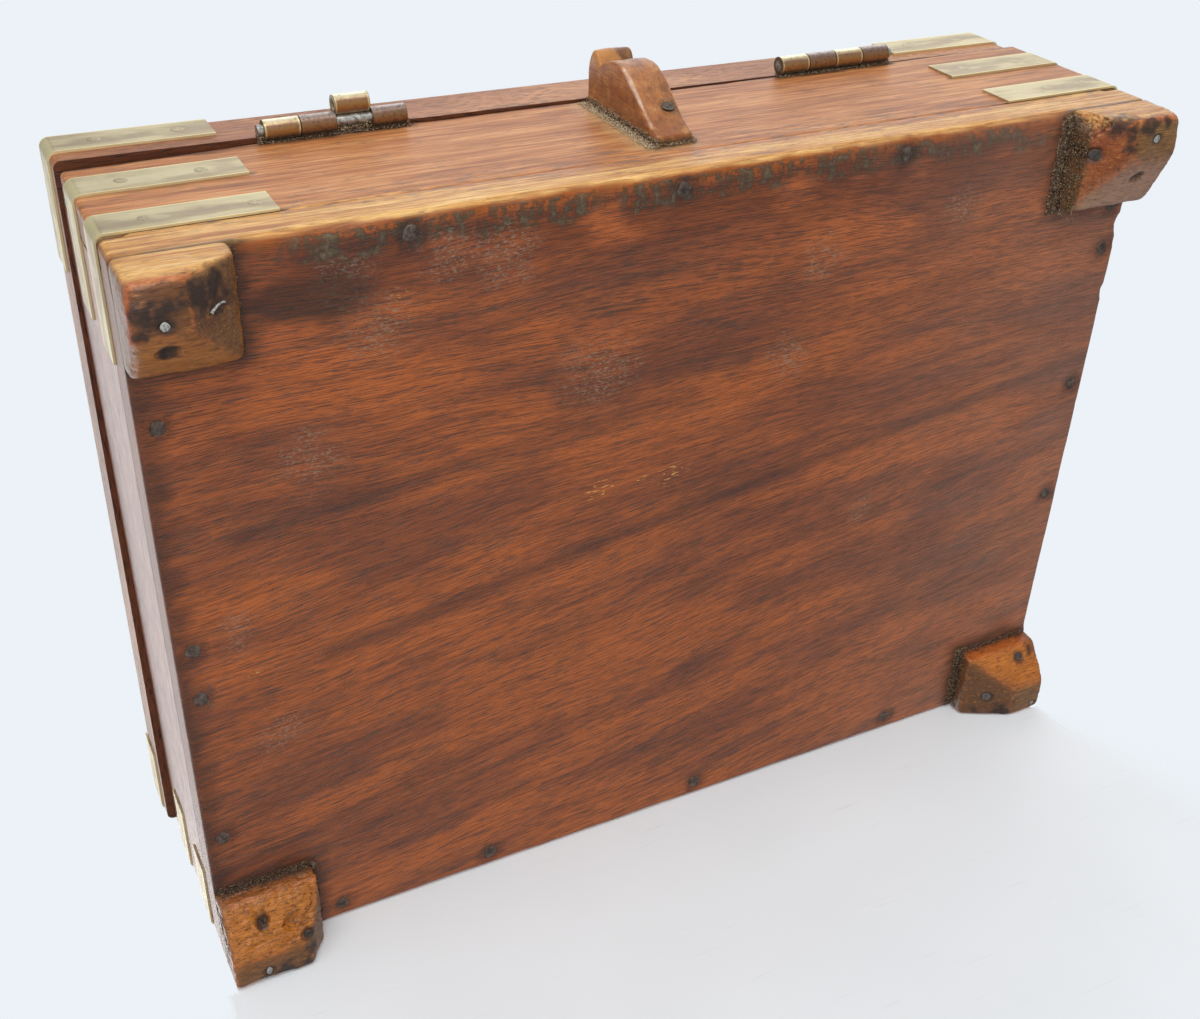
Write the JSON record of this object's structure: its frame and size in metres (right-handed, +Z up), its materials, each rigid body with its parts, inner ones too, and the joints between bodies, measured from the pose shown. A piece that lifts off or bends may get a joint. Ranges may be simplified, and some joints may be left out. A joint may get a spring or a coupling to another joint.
{
  "type": "box",
  "caption": "Low rectangular wooden box with brass corner straps, block feet and a shallow hinged lid that opens to rest against a notched stop block on the back.",
  "frame": {"origin": "on the surface under the feet, at the middle of the footprint of the whole box, its stop block and overhanging lid included", "axes": "+Z up, +X to the right and -Y towards someone who stands in front of the box, so the hinges are on the +Y side"},
  "size_m": [0.3036, 0.2396, 0.0938],
  "materials": {
    "block_wood": "worn, stained",
    "bottom_wood": "worn, bare",
    "case_wood": "worn wax",
    "foot_wood": "worn, stained",
    "hinge_brass": "tarnished",
    "hinge_steel": "dull",
    "lid_wood": "worn wax",
    "lock_brass": "tarnished",
    "lock_steel": "dull",
    "nail_iron": "rusty",
    "strap_brass": "tarnished"
  },
  "bodies": {
    "case": {"back_board": "case_wood", "bottom_board": "bottom_wood", "bottom_nails": "nail_iron", "foot_back_left": "foot_wood", "foot_back_right": "foot_wood", "foot_front_left": "foot_wood", "foot_front_right": "foot_wood", "foot_nails": "nail_iron", "front_board": "case_wood", "hinge_left_case_leaf": "hinge_brass", "hinge_left_pin": "hinge_steel", "hinge_right_case_leaf": "hinge_brass", "hinge_right_pin": "hinge_steel", "keyhole_escutcheon": "lock_brass", "left_board": "case_wood", "lock_case": "lock_brass", "right_board": "case_wood", "stop_block": "block_wood", "stop_nails": "nail_iron", "strap_back_left_lower": "strap_brass", "strap_back_left_upper": "strap_brass", "strap_back_right_lower": "strap_brass", "strap_back_right_upper": "strap_brass", "strap_front_left_lower": "strap_brass", "strap_front_left_upper": "strap_brass", "strap_front_right_lower": "strap_brass", "strap_front_right_upper": "strap_brass"},
    "lid": {"hinge_left_lid_leaf": "hinge_brass", "hinge_right_lid_leaf": "hinge_brass", "lid_back_rail": "lid_wood", "lid_front_rail": "lid_wood", "lid_left_rail": "lid_wood", "lid_panel": "lid_wood", "lid_right_rail": "lid_wood", "lid_strap_back_left": "strap_brass", "lid_strap_back_right": "strap_brass", "lid_strap_front_left": "strap_brass", "lid_strap_front_right": "strap_brass", "lock_link": "lock_brass"},
    "bolt": {"lock_bolt": "lock_steel"}
  },
  "joints": [
    {"name": "lid_hinge", "type": "hinge", "parent": "case", "child": "lid", "pos_m": [-0.00124, 0.10707, 0.0758], "axis": [-1, 0, 0], "range_deg": [0, 110]},
    {"name": "bolt_slide", "type": "slide", "parent": "case", "child": "bolt", "axis": [1, 0, 0], "range_m": [0, 0.005]}
  ]
}
